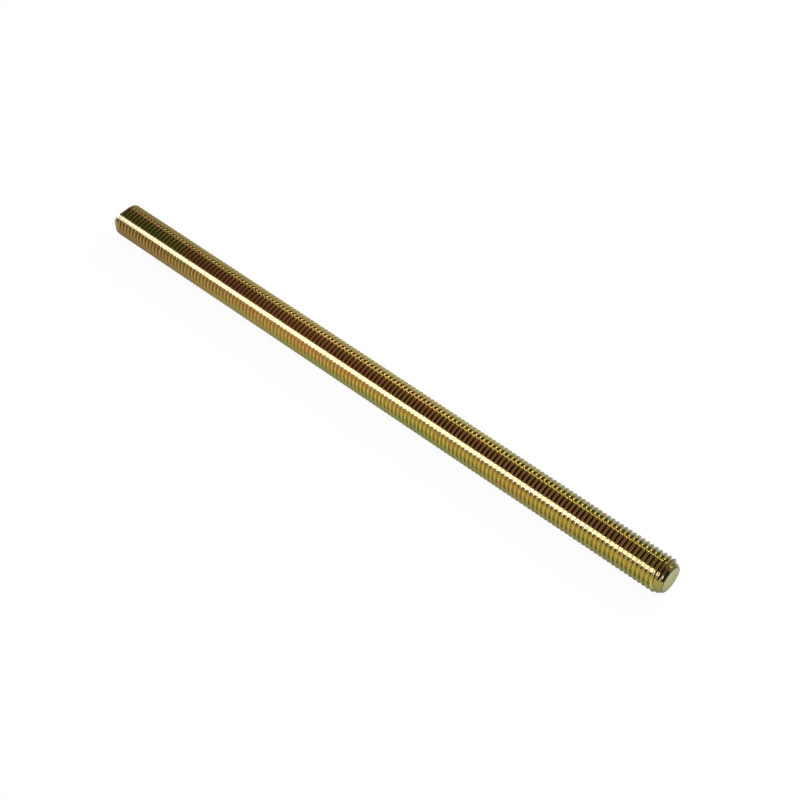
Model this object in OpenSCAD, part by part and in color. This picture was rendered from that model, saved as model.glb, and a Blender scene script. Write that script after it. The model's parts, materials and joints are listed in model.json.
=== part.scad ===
// Fully threaded rod, lying along X with its axis through the origin.
// The near end (+X) is square with a chamfer. The far end (-X) has a longer chamfer and a slanted cut.
// Each turn of the thread is a ring groove of the thread's true section and pitch.

/* [Rod] */
// Length over both ends
rod_len = 381; // [100:1:1000]
// Diameter over the thread's crests
thread_d = 19.05; // [15:0.05:30]

/* [Thread] */
// Distance from one crest to the next
pitch = 2.54; // [1.5:0.01:3.5]
// Width of the flat on a crest
crest_flat = 0.32; // [0.15:0.01:0.5]
// Width of the flat at a root
root_flat = 0.42; // [0.15:0.01:0.5]
// Angle between the two flanks of a groove
flank_angle = 60; // [50:1:75]

/* [Ends] */
// Angle between the chamfers and the rod's axis
chamfer_angle = 33; // [25:1:50]
// Radial depth of the chamfer at the near end
near_chamfer = 2.4; // [1.8:0.1:4]
// Radial depth of the chamfer at the far end's tip
far_chamfer = 5.4; // [4:0.1:6.5]
// Lean of the far end's cut face, from square to the axis
far_cut_angle = 34; // [5:1:40]

/* [Hidden] */
crest_r = thread_d / 2;
root_r = crest_r - (pitch - crest_flat - root_flat) / 2 / tan(flank_angle / 2);
groove_w = pitch - crest_flat;

near_x = rod_len / 2;
near_face_r = crest_r - near_chamfer;
near_chamfer_x = near_x - near_chamfer / tan(chamfer_angle);

far_x = -rod_len / 2;
far_tip_r = crest_r - far_chamfer;
far_chamfer_x = far_x + far_chamfer / tan(chamfer_angle);
far_apex_x = far_x - far_tip_r / tan(chamfer_angle);

// Enough grooves to pass both ends, the middle one at the rod's middle
grooves_each_way = ceil(rod_len / 2 / pitch) + 1;
thread_half_len = (grooves_each_way + 1) * pitch;

facets = 96;

// One groove's corners, as [radius, place along the rod]
function groove(x) = [
    [crest_r, x - groove_w / 2],
    [root_r, x - root_flat / 2],
    [root_r, x + root_flat / 2],
    [crest_r, x + groove_w / 2],
];

// Half section of an endless thread, longer than the rod
module thread_section() {
    polygon([
        [0, -thread_half_len],
        [crest_r, -thread_half_len],
        for (i = [-grooves_each_way : grooves_each_way]) each groove(i * pitch),
        [crest_r, thread_half_len],
        [0, thread_half_len],
    ]);
}

// Half section of the bar that the thread is cut on, with its chamfers
module bar_section() {
    polygon([
        [0, far_apex_x],
        [crest_r, far_chamfer_x],
        [crest_r, near_chamfer_x],
        [near_face_r, near_x],
        [0, near_x],
    ]);
}

// What the slanted cut takes off: all beyond a plane through the far end's tip
module far_cut() {
    size = 4 * thread_d;
    translate([far_x, 0, -far_tip_r])
        rotate([0, far_cut_angle, 0])
            translate([-size, -size / 2, -size / 2])
                cube(size);
}

module threaded_rod() {
    color([0.70, 0.60, 0.32])
        difference() {
            rotate([0, 90, 0])
                rotate_extrude($fn = facets)
                    intersection() {
                        thread_section();
                        bar_section();
                    }
            far_cut();
        }
}

threaded_rod();
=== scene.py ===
import json
import math
from types import SimpleNamespace

import bmesh
import bpy
import numpy as np
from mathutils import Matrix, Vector


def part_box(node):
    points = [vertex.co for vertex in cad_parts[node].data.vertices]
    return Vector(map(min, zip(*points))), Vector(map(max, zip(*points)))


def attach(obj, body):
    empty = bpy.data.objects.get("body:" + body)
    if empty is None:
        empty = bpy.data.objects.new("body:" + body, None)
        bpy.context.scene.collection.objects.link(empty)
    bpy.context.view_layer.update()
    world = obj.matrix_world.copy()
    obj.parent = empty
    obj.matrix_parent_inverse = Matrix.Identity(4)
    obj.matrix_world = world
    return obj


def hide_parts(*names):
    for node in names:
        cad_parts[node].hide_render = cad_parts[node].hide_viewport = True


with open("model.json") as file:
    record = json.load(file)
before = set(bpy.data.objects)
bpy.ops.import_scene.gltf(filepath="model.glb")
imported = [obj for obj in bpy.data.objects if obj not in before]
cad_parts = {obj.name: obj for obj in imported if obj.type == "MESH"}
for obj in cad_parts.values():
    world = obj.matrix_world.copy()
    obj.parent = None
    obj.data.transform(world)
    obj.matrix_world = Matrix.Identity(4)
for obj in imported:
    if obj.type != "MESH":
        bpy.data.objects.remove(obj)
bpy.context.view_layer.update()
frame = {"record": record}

MM = 0.001
ROD = "threaded_rod"
rod_low, rod_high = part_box(ROD)
FAR_X = rod_low.x
NEAR_X = rod_high.x

# Thread section
CREST_R = frame["record"]["mounts"][0]["dims"]["r_mm"] * MM
PITCH = 2.54 * MM
CREST_FLAT = 0.32 * MM
ROOT_FLAT = 0.42 * MM
FLANK_ANGLE = math.radians(60)
FLANK_LEAN = math.pi / 2 - FLANK_ANGLE / 2
ROOT_R = CREST_R - (PITCH - CREST_FLAT - ROOT_FLAT) / 2 / math.tan(FLANK_ANGLE / 2)
CREST_ROUNDING = 0.12 * MM
ROOT_ROUNDING = ROOT_FLAT / 2 / math.tan(FLANK_LEAN / 2)

# Ends
CHAMFER_ANGLE = math.radians(33)
NEAR_CHAMFER = 2.4 * MM
NEAR_FACE_R = CREST_R - NEAR_CHAMFER
FAR_CHAMFER = 5.4 * MM
FAR_TIP_R = CREST_R - FAR_CHAMFER
FAR_CUT_ANGLE = math.radians(34)
FAR_TIP = Vector((FAR_X, 0, -FAR_TIP_R))
FAR_CUT_OUTWARD = Vector((-math.cos(FAR_CUT_ANGLE), 0, math.sin(FAR_CUT_ANGLE)))
RIM_ROUNDING = 0.3 * MM
FACE_DISH = 0.12 * MM

# Points round the rod, and steps round the near rim
SIDES = 58
RIM_STEPS = 4
# Rings on the dished near face, as shares of its radius
FACE_RINGS = (0.85, 0.6, 0.35, 0.12)
# Turns made beyond the rod's length, which the ends cut off
SPARE_TURNS = 5
# The least radius of a chamfer's cone, and how far past the last root the near chamfer turns plain
MARGIN = 0.1 * MM
# Two faces that meet at more than this show an edge
SHARP_ANGLE = math.radians(50)


def thread_steps():
    """One pitch of the section from crest to crest, as (place along, radius, lean of its normal)."""
    def arc(edge, radius, rounding, side):
        # A fillet between a flat at that radius and the flank, as three points
        reach = rounding * math.tan(FLANK_LEAN / 2)
        points = []
        for lean in (0.0, FLANK_LEAN / 2, FLANK_LEAN):
            x = edge + side * (rounding * math.sin(lean) - reach)
            points.append((x, radius - side * rounding * (1 - math.cos(lean)), lean))
        return points

    crest = arc(CREST_FLAT / 2, CREST_R, CREST_ROUNDING, 1)
    root = arc(PITCH / 2 - ROOT_FLAT / 2, ROOT_R, ROOT_ROUNDING, -1)
    falling = crest + root[::-1]
    rising = [(PITCH - x, radius, -lean) for x, radius, lean in reversed(falling[:-1])]
    return falling + rising


def cone_radius(x):
    """The most that each chamfer leaves at a place along the rod: the near one, then the far one."""
    slope = math.tan(CHAMFER_ANGLE)
    near = NEAR_FACE_R + (NEAR_X - x) * slope
    far = FAR_TIP_R + (x - FAR_X) * slope
    return np.maximum(near, MARGIN), np.maximum(far, MARGIN)


def helix_points():
    """Points and normals of one right-hand thread with its chamfers, as rows of SIDES points."""
    steps = np.array(thread_steps())
    per_turn = len(steps)
    turns = int(math.ceil((NEAR_X - FAR_X) / PITCH)) + SPARE_TURNS
    # Half a pitch more puts a root at the rod's middle, as in the part's source
    start = -(turns // 2 + 0.5) * PITCH
    rows = np.arange(turns * per_turn)
    along, radius, lean = steps[rows % per_turn].T[:, :, None]
    angle = (np.arange(SIDES) * 2 * math.pi / SIDES)[None, :]
    x = start + (rows[:, None] // per_turn) * PITCH + along + PITCH * angle / (2 * math.pi)
    near, far = cone_radius(x)
    r = np.minimum(np.minimum(np.broadcast_to(radius, x.shape), near), far)
    lean = np.broadcast_to(lean, x.shape).copy()
    twist = -np.sin(lean) * PITCH / (2 * math.pi * r)
    for cone, side in ((near, 1), (far, -1)):
        lean[r == cone] = side * CHAMFER_ANGLE
        twist[r == cone] = 0.0
    outward = np.cos(lean)
    cosine, sine = np.cos(angle), np.sin(angle)
    points = np.stack([x, r * cosine, r * sine], axis=-1)
    normals = np.stack(
        [np.sin(lean), outward * cosine - twist * sine, outward * sine + twist * cosine], axis=-1
    )
    return points, normals / np.linalg.norm(normals, axis=-1, keepdims=True), per_turn


def helix_mesh(mesh, normal_layer, thread_layer):
    """Fills a bmesh with the thread, a little longer than the rod and open at both ends."""
    points, normals, per_turn = helix_points()
    verts = []
    for row_points, row_normals in zip(points.tolist(), normals.tolist()):
        row = [mesh.verts.new(point) for point in row_points]
        for vert, normal in zip(row, row_normals):
            vert[normal_layer] = normal
        verts.append(row)
    for k in range(len(verts) - 1 - per_turn):
        # Once round, a row goes on at the start of the row one turn further
        row = verts[k] + verts[k + per_turn][:1]
        next_row = verts[k + 1] + verts[k + 1 + per_turn][:1]
        for j in range(SIDES):
            quad = (row[j], row[j + 1], next_row[j + 1], next_row[j])
            mesh.faces.new(quad)[thread_layer] = 1


def cut(mesh, point, outward):
    """Cuts away all beyond a plane and returns the edges of the open rim."""
    on_plane = 1e-7
    everything = mesh.verts[:] + mesh.edges[:] + mesh.faces[:]
    result = bmesh.ops.bisect_plane(
        mesh, geom=everything, dist=on_plane, plane_co=point, plane_no=outward, clear_outer=True
    )
    return [e for e in result["geom_cut"] if isinstance(e, bmesh.types.BMEdge)]


def close_rim(mesh, rim, thread_layer):
    """Fills an open rim with one flat face."""
    for face in bmesh.ops.holes_fill(mesh, edges=rim, sides=0)["faces"]:
        face[thread_layer] = 0


def extrude_rings(mesh, rim, rings, thread_layer):
    """Carries an open circular rim on through (x, radius) rings and closes it at the last one."""
    edges = rim
    for x, radius in rings:
        made = bmesh.ops.extrude_edge_only(mesh, edges=edges)["geom"]
        edges = [e for e in made if isinstance(e, bmesh.types.BMEdge)]
        for vert in [v for v in made if isinstance(v, bmesh.types.BMVert)]:
            across = Vector((0, vert.co.y, vert.co.z)).normalized() * radius
            vert.co = Vector((x, across.y, across.z))
        for face in [f for f in made if isinstance(f, bmesh.types.BMFace)]:
            face[thread_layer] = 0
    close_rim(mesh, edges, thread_layer)


def near_rings():
    """Rings from the near chamfer round its rim and over the end face, as (x, radius)."""
    turn = math.pi / 2 - CHAMFER_ANGLE
    reach = RIM_ROUNDING * math.tan(turn / 2)
    rings = [(NEAR_X - reach * math.cos(CHAMFER_ANGLE), NEAR_FACE_R + reach * math.sin(CHAMFER_ANGLE))]
    centre_x = NEAR_X - RIM_ROUNDING
    centre_r = NEAR_FACE_R - reach
    for step in range(1, RIM_STEPS + 1):
        lean = CHAMFER_ANGLE + turn * step / RIM_STEPS
        rings.append((centre_x + RIM_ROUNDING * math.sin(lean), centre_r + RIM_ROUNDING * math.cos(lean)))
    for share in FACE_RINGS:
        rings.append((NEAR_X - FACE_DISH * (1 - share), centre_r * share))
    return rings


def read_values(collection, name, count, kind):
    """One property of every item in a mesh collection, as a flat array."""
    values = np.empty(count, dtype=kind)
    collection.foreach_get(name, values)
    return values


def set_thread_normals(data):
    """Gives the thread's faces the true normals of the helix, and leaves the others as they are."""
    shortest = 1e-9
    corners = len(data.loops)
    faces = len(data.polygons)
    normals = read_values(data.corner_normals, "vector", corners * 3, np.float32).reshape(-1, 3)
    corner_verts = read_values(data.loops, "vertex_index", corners, np.int32)
    true_normals = data.attributes["thread_normal"].data
    true_normals = read_values(true_normals, "vector", len(data.vertices) * 3, np.float32).reshape(-1, 3)
    is_thread = read_values(data.attributes["thread_face"].data, "value", faces, np.int32)
    sizes = read_values(data.polygons, "loop_total", faces, np.int32)
    chosen = np.repeat(is_thread, sizes).astype(bool)
    normals[chosen] = true_normals[corner_verts[chosen]]
    normals /= np.maximum(np.linalg.norm(normals, axis=1, keepdims=True), shortest)
    data.normals_split_custom_set(normals.tolist())
    for name in ("thread_normal", "thread_face"):
        data.attributes.remove(data.attributes[name])


def build_rod():
    """The rod with its helical thread, chamfers and end faces, as one closed mesh."""
    mesh = bmesh.new()
    normal_layer = mesh.verts.layers.float_vector.new("thread_normal")
    thread_layer = mesh.faces.layers.int.new("thread_face")
    helix_mesh(mesh, normal_layer, thread_layer)
    past_roots_x = NEAR_X - (ROOT_R - NEAR_FACE_R) / math.tan(CHAMFER_ANGLE) + MARGIN
    rim = cut(mesh, (past_roots_x, 0, 0), (1, 0, 0))
    extrude_rings(mesh, rim, near_rings(), thread_layer)
    rim = cut(mesh, FAR_TIP, FAR_CUT_OUTWARD)
    close_rim(mesh, rim, thread_layer)
    bmesh.ops.recalc_face_normals(mesh, faces=mesh.faces[:])
    for face in mesh.faces:
        face.smooth = True
    data = bpy.data.meshes.new("rod_thread")
    mesh.to_mesh(data)
    mesh.free()
    data.set_sharp_from_angle(angle=SHARP_ANGLE)
    set_thread_normals(data)
    rod = bpy.data.objects.new("rod_thread", data)
    bpy.context.scene.collection.objects.link(rod)
    return rod


def grey(level):
    """A grey in linear numbers, 1 being white."""
    return (level, level, level, 1.0)


def srgb(red, green, blue):
    """A colour as a picture program writes it, from 0 to 255, in Blender's linear numbers."""
    def linear(c):
        c /= 255
        return c / 12.92 if c <= 0.04045 else ((c + 0.055) / 1.055) ** 2.4
    return (linear(red), linear(green), linear(blue), 1.0)


def node(tree, kind, settings=None, **sockets):
    """Adds a shader node with its settings and the values of its named inputs."""
    made = tree.nodes.new(kind)
    for name, value in (settings or {}).items():
        setattr(made, name, value)
    for name, value in sockets.items():
        made.inputs[name.replace("_", " ")].default_value = value
    return made


def feed(tree, socket, value):
    """Gives an input a number, a colour or another node's output."""
    if isinstance(value, (int, float, tuple)):
        socket.default_value = value
    else:
        tree.links.new(value, socket)


def combine(tree, operation, *values):
    """Numbers and outputs joined one after the other by a Math node's operation."""
    result = values[0]
    for value in values[1:]:
        made = node(tree, "ShaderNodeMath", {"operation": operation})
        feed(tree, made.inputs[0], result)
        feed(tree, made.inputs[1], value)
        result = made.outputs[0]
    return result


def total(tree, *values):
    """The sum of numbers and outputs."""
    return combine(tree, "ADD", *values)


def product(tree, *values):
    """The product of numbers and outputs."""
    return combine(tree, "MULTIPLY", *values)


def largest(tree, *values):
    """The largest of numbers and outputs."""
    return combine(tree, "MAXIMUM", *values)


def rescale(tree, value, low, high, to_low=0.0, to_high=1.0, kind="SMOOTHSTEP"):
    """Maps low..high smoothly to to_low..to_high, and holds the ends outside."""
    made = node(tree, "ShaderNodeMapRange", {"interpolation_type": kind})
    for name, number in (("From Min", low), ("From Max", high), ("To Min", to_low), ("To Max", to_high)):
        made.inputs[name].default_value = number
    tree.links.new(value, made.inputs["Value"])
    return made.outputs["Result"]


def ramp(tree, value, stops):
    """A colour ramp of (position, colour) stops."""
    made = node(tree, "ShaderNodeValToRGB")
    elements = made.color_ramp.elements
    while len(elements) < len(stops):
        elements.new(0.5)
    for element, (position, colour) in zip(elements, stops):
        element.position = position
        element.color = colour
    tree.links.new(value, made.inputs[0])
    return made.outputs["Color"]


def blend_colours(tree, share, first, second):
    """Goes from the first colour to the second as the share goes from 0 to 1."""
    made = node(tree, "ShaderNodeMix", {"data_type": "RGBA"})
    # The inputs that a mix of colours uses
    sockets = (made.inputs[0], made.inputs[6], made.inputs[7])
    for socket, value in zip(sockets, (share, first, second)):
        feed(tree, socket, value)
    return made.outputs[2]


def noise(tree, place, lengths, detail=2.0):
    """Smooth noise with features of the given lengths along X, Y and Z."""
    stretch = node(tree, "ShaderNodeMapping", Scale=tuple(1 / length for length in lengths))
    tree.links.new(place, stretch.inputs["Vector"])
    made = node(tree, "ShaderNodeTexNoise", Scale=1.0, Detail=detail, Roughness=0.5)
    tree.links.new(stretch.outputs[0], made.inputs["Vector"])
    return made.outputs["Fac"]


def split_xyz(tree, vector):
    """The three parts of a vector."""
    split = tree.nodes.new("ShaderNodeSeparateXYZ")
    tree.links.new(vector, split.inputs[0])
    return split.outputs


def surface_place(tree):
    """Where a point of the rod is.

    along goes from 0 at the far end to 1 at the near end. backward goes from -1 on the camera's side of
    the rod to 1 behind it, and upward is 1 on top, leaning a little to the camera's side.
    """
    up_y, up_z = -0.3, 0.95
    point = tree.nodes.new("ShaderNodeTexCoord").outputs["Object"]
    x, y, z = split_xyz(tree, point)
    radius = combine(tree, "POWER", total(tree, product(tree, y, y), product(tree, z, z)), 0.5)
    height = total(tree, product(tree, z, up_z), product(tree, y, up_y))
    return SimpleNamespace(
        point=point,
        x=x,
        z=z,
        radius=radius,
        along=rescale(tree, x, FAR_X, NEAR_X, kind="LINEAR"),
        backward=combine(tree, "DIVIDE", y, radius),
        upward=combine(tree, "DIVIDE", height, radius),
    )


def film_tint(tree, at):
    """The film's tint: copper where it is thin, gold where it is middling, green where it is thick, with
    painted reflection colour along the top and painted sheen along the underside.
    """
    patch_lengths = (28 * MM, 9 * MM, 9 * MM)
    patch_film = 0.5
    far_film, near_film = 0.03, 0.35
    tip_start, tip_end = FAR_X + 35 * MM, FAR_X + 80 * MM
    painted_tip_top_film, painted_top_film = 0.40, -0.25
    painted_underside_film, painted_middle_underside_film = 0.1, 0.22

    patches = product(tree, noise(tree, at.point, patch_lengths), patch_film)
    drift = rescale(tree, at.along, 0.0, 1.0, far_film, near_film, "LINEAR")
    # Coppery along the top, greener near the far tip: painted reflection colour of the dark band mirrored
    # there.
    on_top = rescale(tree, at.upward, 0.92, 0.98)
    painted_top_tint = product(tree, on_top, rescale(tree, at.x, tip_start, tip_end, painted_tip_top_film, painted_top_film))
    # Greener along the underside: painted sheen.
    in_middle = product(tree, rescale(tree, at.along, 0.1, 0.3), rescale(tree, at.along, 0.8, 0.6))
    painted_underside = product(tree, rescale(tree, at.upward, 0.55, 0.20), total(
        tree,
        rescale(tree, at.along, 0.1, 0.5, 0.0, painted_underside_film),
        product(tree, in_middle, painted_middle_underside_film),
    ))
    return ramp(tree, total(tree, patches, drift, painted_top_tint, painted_underside), [
        (0.10, srgb(210, 152, 108)),
        (0.35, srgb(210, 174, 106)),
        (0.60, srgb(202, 186, 104)),
        (0.85, srgb(180, 188, 102)),
    ])


def painted_highlight_streak(tree, at, tint):
    """Paints a pale highlight streak into the tint under the long highlight, most of all towards the far
    end.
    """
    # This pale colour is a painted highlight.
    painted_highlight = srgb(224, 208, 184)
    near_share, far_share = 0.6, 1.0
    share = product(
        tree,
        rescale(tree, at.backward, -0.50, -0.56),
        rescale(tree, at.backward, -0.86, -0.80),
        rescale(tree, at.z, 0.0, 0.2 * CREST_R),
        rescale(tree, at.along, 0.40, 0.05, near_share, far_share),
    )
    return blend_colours(tree, share, tint, painted_highlight)


def painted_flank_shade(tree, at, tint):
    """Paints shade on the flanks of the thread, brown above the highlight and olive behind the rod."""
    flank_shade_brown = srgb(84, 60, 32)
    flank_shade_olive = srgb(104, 102, 40)
    front_shade_share, top_shade_share, extra_shade_share_behind = 0.06, 0.5, 0.2

    depth = rescale(tree, at.radius, ROOT_R, CREST_R, 1.0, 0.0, "LINEAR")
    flank_shade_mask = product(tree, rescale(tree, depth, 0.0, 0.15), rescale(tree, depth, 0.98, 0.85))
    shade_behind = rescale(tree, at.backward, 0.2, 0.45)
    shade_above_highlight = rescale(tree, at.backward, -0.60, -0.48, front_shade_share, top_shade_share)
    # The darkening of the flanks is painted shade, strongest above the highlight and behind the rod.
    share = product(tree, flank_shade_mask, total(tree, shade_above_highlight, product(tree, shade_behind, extra_shade_share_behind)))
    return blend_colours(tree, share, tint, blend_colours(tree, shade_behind, flank_shade_brown, flank_shade_olive))


def darker_far_end_and_painted_shade(tree, at, tint):
    """Darkens the far end, and paints shade along the underside and on the back of the near end."""
    dark_olive_and_shade = srgb(84, 88, 36)
    far_top_share, far_share = 0.25, 0.45
    underside_shade_share = 0.22
    near_back_shade_share = 0.6

    # Darker towards the far end.
    far = product(
        tree,
        rescale(tree, at.along, 0.45, 0.0),
        rescale(tree, at.upward, 0.97, 0.85, far_top_share, far_share),
    )
    # Painted shade along the underside.
    painted_underside = rescale(tree, at.upward, 0.50, 0.1, 0.0, underside_shade_share)
    # Painted shade on the back of the near end.
    near_back_shade = product(
        tree,
        rescale(tree, at.along, 0.6, 0.95),
        rescale(tree, at.backward, 0.3, 0.55, 0.0, near_back_shade_share),
    )
    return blend_colours(tree, largest(tree, far, painted_underside, near_back_shade), tint, dark_olive_and_shade)


def near_end(tree, at, tint):
    """Paints shade on the near chamfer as a browner tint, and gives the near face a tint of its own with
    painted shade at its rim.
    """
    chamfer_shade_brown = srgb(104, 84, 34)
    chamfer_shade_share = 0.5
    chamfer_start, chamfer_full = NEAR_X - 3.9 * MM, NEAR_X - 2.7 * MM
    face_start, face_full = NEAR_X - 0.35 * MM, NEAR_X - 0.2 * MM

    # Painted shade on the near chamfer.
    chamfer_shade = rescale(tree, at.x, chamfer_start, chamfer_full, 0.0, chamfer_shade_share)
    tint = blend_colours(tree, chamfer_shade, tint, chamfer_shade_brown)
    face_tint = ramp(tree, rescale(tree, at.radius, 0.0, NEAR_FACE_R, kind="LINEAR"), [
        (0.0, srgb(146, 140, 48)),
        (0.78, srgb(140, 142, 50)),
        # The darker outer stops are painted shade at the face's rim.
        (0.90, srgb(110, 116, 44)),
        (0.98, srgb(80, 86, 30)),
    ])
    return blend_colours(tree, rescale(tree, at.x, face_start, face_full), tint, face_tint)


def far_face_share(tree, at):
    """1 on the slanted face at the far end, and 0 from a little below it."""
    start, full = -0.15 * MM, -0.05 * MM
    across = product(tree, total(tree, at.x, -FAR_TIP.x), FAR_CUT_OUTWARD.x)
    upward = product(tree, total(tree, at.z, -FAR_TIP.z), FAR_CUT_OUTWARD.z)
    return rescale(tree, total(tree, across, upward), start, full)


def plating_material():
    """Yellow zinc plating: a clear golden film whose tint drifts to copper and to green."""
    far_face_tint = srgb(150, 146, 84)
    far_face_roughness = 0.45
    spot_length = 1.6 * MM
    least_roughness, most_roughness = 0.07, 0.13
    bump_lengths = (0.5 * MM, 0.9 * MM, 0.9 * MM)
    bump_height = 0.012 * MM
    coat_share, coat_roughness, coat_ior = 0.12, 0.12, 1.5

    material = bpy.data.materials.new("yellow_zinc_plating")
    material.use_nodes = True
    tree = material.node_tree
    shader = tree.nodes["Principled BSDF"]
    at = surface_place(tree)
    far_face = far_face_share(tree, at)

    tint = film_tint(tree, at)
    # Adds a painted highlight, painted shade on the flanks, underside, chamfer and back of the near end,
    # and a darker far end.
    for change in (painted_highlight_streak, painted_flank_shade, darker_far_end_and_painted_shade, near_end):
        tint = change(tree, at, tint)
    tint = blend_colours(tree, far_face, tint, far_face_tint)
    tree.links.new(tint, shader.inputs["Base Color"])
    shader.inputs["Metallic"].default_value = 1.0

    spots = noise(tree, at.point, (spot_length, spot_length, spot_length), detail=3.0)
    roughness = rescale(tree, spots, 0.3, 0.7, least_roughness, most_roughness)
    roughness = largest(tree, roughness, product(tree, far_face, far_face_roughness))
    tree.links.new(roughness, shader.inputs["Roughness"])
    shader.inputs["Coat Weight"].default_value = coat_share
    shader.inputs["Coat Roughness"].default_value = coat_roughness
    shader.inputs["Coat IOR"].default_value = coat_ior

    bumps = node(tree, "ShaderNodeBump", Strength=1.0, Distance=bump_height)
    tree.links.new(noise(tree, at.point, bump_lengths, detail=3.0), bumps.inputs["Height"])
    tree.links.new(bumps.outputs[0], shader.inputs["Normal"])
    return material


def floor_material():
    """White paper: plain white to the camera but for a faint shadow, and lit paper in reflections."""
    shadow_share = 0.05
    glow_in_reflections = 0.1
    material = bpy.data.materials.new("white_floor")
    material.use_nodes = True
    tree = material.node_tree
    tree.nodes.clear()
    out = tree.nodes.new("ShaderNodeOutputMaterial")
    paper = node(tree, "ShaderNodeBsdfDiffuse", Color=grey(0.95))
    glow = node(tree, "ShaderNodeEmission", Color=grey(1.0), Strength=1.0)
    path = tree.nodes.new("ShaderNodeLightPath")
    reflected = product(tree, path.outputs["Is Glossy Ray"], glow_in_reflections)
    share = product(tree, largest(tree, path.outputs["Is Camera Ray"], reflected), 1 - shadow_share)
    mix = tree.nodes.new("ShaderNodeMixShader")
    tree.links.new(share, mix.inputs[0])
    tree.links.new(paper.outputs[0], mix.inputs[1])
    tree.links.new(glow.outputs[0], mix.inputs[2])
    tree.links.new(mix.outputs[0], out.inputs["Surface"])
    return material


def build_floor(height):
    """A wide flat floor at that height."""
    half = 6.0
    corners = [(-half, -half, height), (half, -half, height), (half, half, height), (-half, half, height)]
    data = bpy.data.meshes.new("floor")
    data.from_pydata(corners, [], [(0, 1, 2, 3)])
    data.materials.append(floor_material())
    floor = bpy.data.objects.new("floor", data)
    bpy.context.scene.collection.objects.link(floor)


def build_world():
    """A studio for the rod to mirror, pale low down and grey overhead, and white to the camera itself.

    It darkens past both ends of the rod, and behind it towards the square end.
    """
    dark = grey(0.05)
    overhead = grey(0.42)
    past_near_end = grey(0.45)
    dark_share_behind = 0.5
    dark_share_far = 0.92

    world = bpy.data.worlds.new("studio")
    bpy.context.scene.world = world
    world.use_nodes = True
    tree = world.node_tree
    x, y, z = split_xyz(tree, tree.nodes.new("ShaderNodeTexCoord").outputs["Generated"])
    front = ramp(tree, z, [
        (0.0, grey(0.95)),
        (0.20, grey(0.88)),
        (0.45, grey(0.50)),
        (0.70, overhead),
    ])
    back = ramp(tree, z, [
        (0.0, grey(1.0)),
        (0.15, grey(0.95)),
        (0.40, grey(0.55)),
        (0.65, overhead),
    ])
    back = blend_colours(tree, rescale(tree, x, -0.42, -0.28, 0.0, dark_share_behind), back, dark)
    middle = blend_colours(tree, rescale(tree, y, 0.1, 0.3), front, back)
    middle = blend_colours(tree, rescale(tree, x, -0.45, -0.58, 0.0, dark_share_far), middle, dark)
    near = blend_colours(tree, rescale(tree, y, 0.1, 0.5), dark, past_near_end)
    colour = blend_colours(tree, rescale(tree, x, 0.05, 0.35), middle, near)
    seen = tree.nodes.new("ShaderNodeLightPath").outputs["Is Camera Ray"]
    colour = blend_colours(tree, seen, colour, grey(1.0))
    tree.links.new(colour, tree.nodes["Background"].inputs["Color"])


def area_light(name, place, aim, size, radiance):
    """A rectangular lamp whose face has the given radiance, a white surface in full light being about 1."""
    data = bpy.data.lights.new(name, "AREA")
    data.shape = "RECTANGLE"
    data.size, data.size_y = size
    data.energy = radiance * math.pi * size[0] * size[1]
    light = bpy.data.objects.new(name, data)
    light.location = place
    light.rotation_mode = "QUATERNION"
    light.rotation_quaternion = (Vector(aim) - Vector(place)).to_track_quat("-Z", "Y")
    bpy.context.scene.collection.objects.link(light)
    return light


def around(x, elevation, distance, side):
    """A point that far from the rod's axis, that many degrees up, before (-1) or behind (+1) the rod."""
    tilt = math.radians(elevation)
    return (x, side * distance * math.cos(tilt), distance * math.sin(tilt))


def build_lights():
    """Soft lights for the floor, and two bright strips along the rod that show only as reflections."""
    soft_size = (1.2, 1.2)
    strip_distance = 1.2
    for name, place, radiance in (
        ("soft_front", (0.3, -0.5, 1.5), 2.5),
        ("soft_back", (0.1, 1.1, 1.1), 4.0),
    ):
        soft = area_light(name, place, (0, 0, 0), soft_size, radiance)
        soft.visible_glossy = False
    for name, x, elevation, side, size, radiance in (
        ("key_strip", -0.85, 38, -1, (1.2, 0.54), 6.3),
        ("back_strip", -0.6, 36.5, 1, (1.0, 0.16), 6),
    ):
        strip = area_light(name, around(x, elevation, strip_distance, side), (x, 0, 0), size, radiance)
        strip.visible_diffuse = False


def build_camera():
    """Looks down on the rod at the photo's angle, its square end nearer."""
    image_pixels = 800
    focal_pixels = 1763
    distance = 0.896
    azimuth = math.radians(41.8)
    elevation = math.radians(48.0)
    target = Vector((21.45 * MM, 0, 0))
    back = Vector((
        math.sin(azimuth) * math.cos(elevation),
        -math.cos(azimuth) * math.cos(elevation),
        math.sin(elevation),
    ))
    data = bpy.data.cameras.new("camera")
    data.sensor_width = 36
    data.lens = data.sensor_width * focal_pixels / image_pixels
    data.clip_start = 0.05
    data.clip_end = 50
    camera = bpy.data.objects.new("camera", data)
    camera.location = target + back * distance
    camera.rotation_mode = "QUATERNION"
    camera.rotation_quaternion = (-back).to_track_quat("-Z", "Y")
    bpy.context.scene.collection.objects.link(camera)
    bpy.context.scene.camera = camera


bpy.context.scene.view_settings.view_transform = "Standard"
build_camera()
build_world()
build_lights()
build_floor(rod_low.z)

rod = build_rod()
rod.data.materials.append(plating_material())
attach(rod, "root")
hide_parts(ROD)
